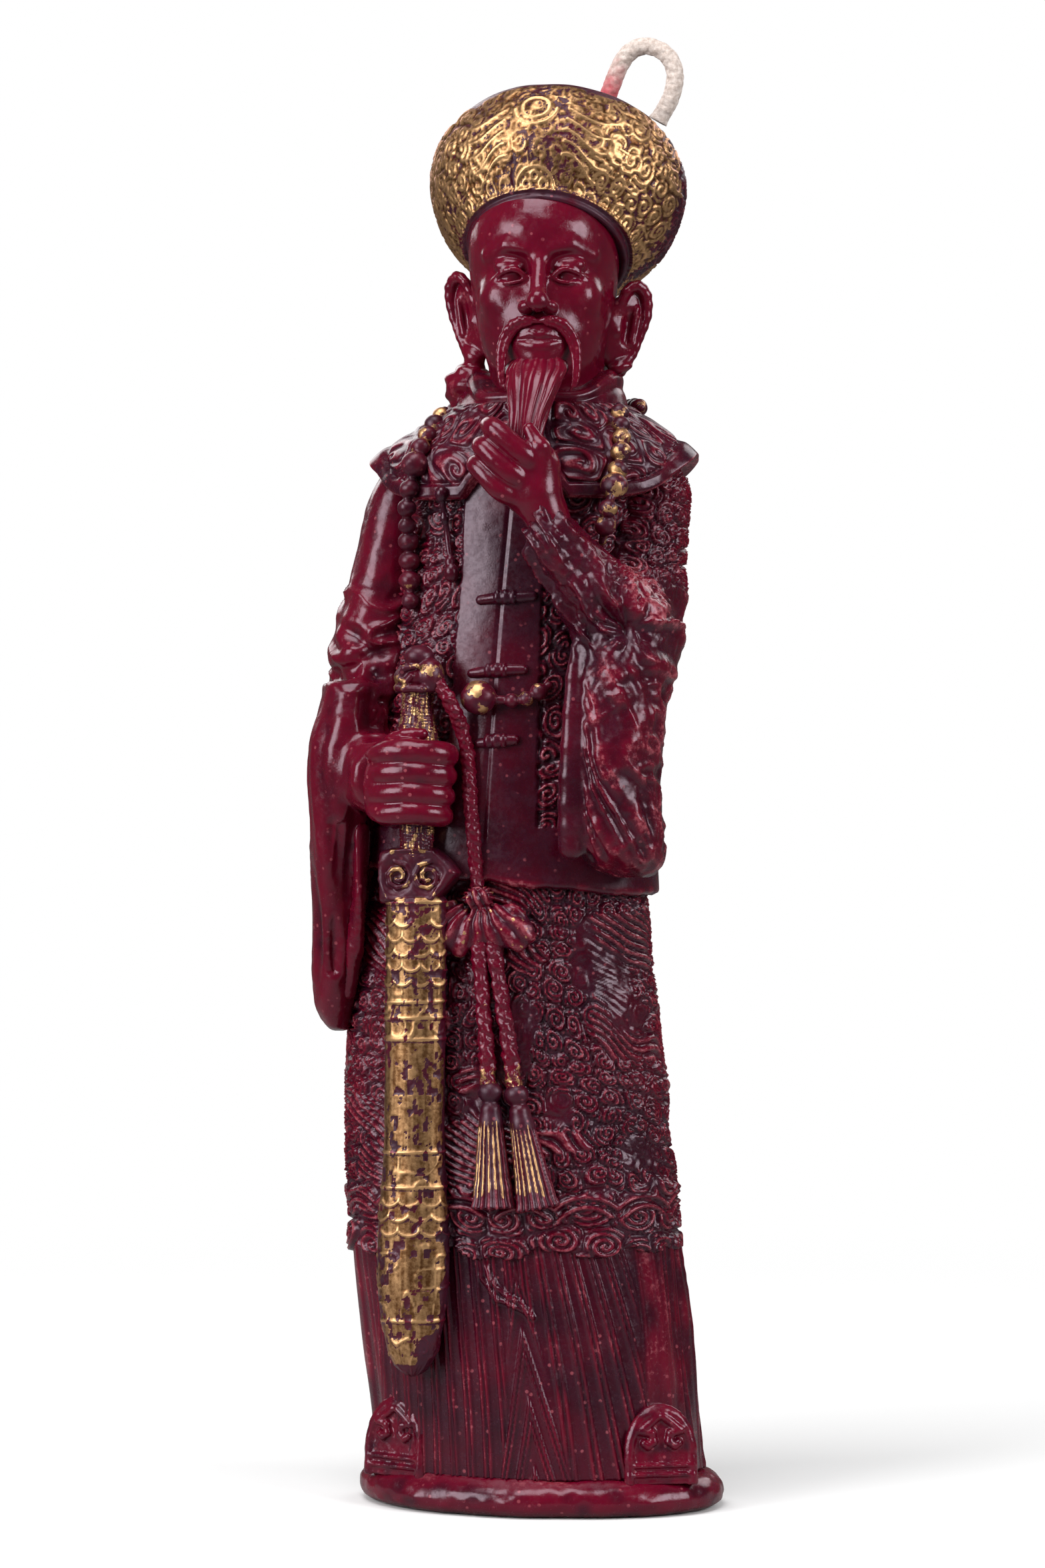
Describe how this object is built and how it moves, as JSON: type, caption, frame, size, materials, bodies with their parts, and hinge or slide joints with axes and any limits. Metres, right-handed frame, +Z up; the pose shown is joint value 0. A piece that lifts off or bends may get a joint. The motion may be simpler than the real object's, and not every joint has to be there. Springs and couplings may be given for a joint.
{
  "type": "figural candle",
  "caption": "Upright wax candle cast as a robed court official with a brimmed hat, beard, bead necklace and sheathed sword, on an oval plinth, with a cotton wick out of the hat.",
  "frame": {"origin": "middle of the oval plinth's flat underside", "axes": "+Z up, -Y the figure's front, +X the figure's left-hand side"},
  "size_m": [0.0739, 0.0566, 0.265],
  "materials": {
    "wax": "wine-red candle wax, semi-gloss, slightly translucent, rubbed paler on raised edges",
    "gilded_wax": "wine-red wax with gold leaf over most of it, worn through in spots",
    "wick_cotton": "braided unbleached cotton, stained by the wax near its foot"
  },
  "bodies": {
    "root": {"wick_core": "wick_cotton", "plinth": "wax", "robe_hem": "wax", "robe_skirt": "wax", "jacket": "wax", "shoe_tip_right": "wax", "shoe_tip_left": "wax", "hat_crown": "wax", "hat_brim": "gilded_wax", "head": "wax", "ear_right": "wax", "ear_left": "wax", "moustache": "wax", "beard": "wax", "standing_collar": "wax", "upper_sleeve_right": "wax", "hanging_sleeve_right": "wax", "upper_sleeve_left": "wax", "hanging_sleeve_left": "wax", "forearm_sleeve_left": "wax", "cape_collar": "wax", "sword_grip": "gilded_wax", "sword_pommel": "gilded_wax", "sword_guard": "wax", "scabbard": "gilded_wax", "scabbard_chape": "gilded_wax", "hand_right": "wax", "hand_left": "wax", "sword_knot_cord": "wax", "sword_knot_bow": "wax", "sword_knot_tail_right": "wax", "sword_knot_tail_left": "wax", "tassel_right": "gilded_wax", "tassel_left": "gilded_wax", "necklace_nape": "gilded_wax", "necklace_right": "gilded_wax", "necklace_left": "gilded_wax", "necklace_bottom": "gilded_wax", "counting_string_right": "wax", "frog_button_upper": "wax", "frog_button_middle": "wax", "frog_button_lower": "wax", "wick_free_end": "wick_cotton"}
  },
  "joints": []
}
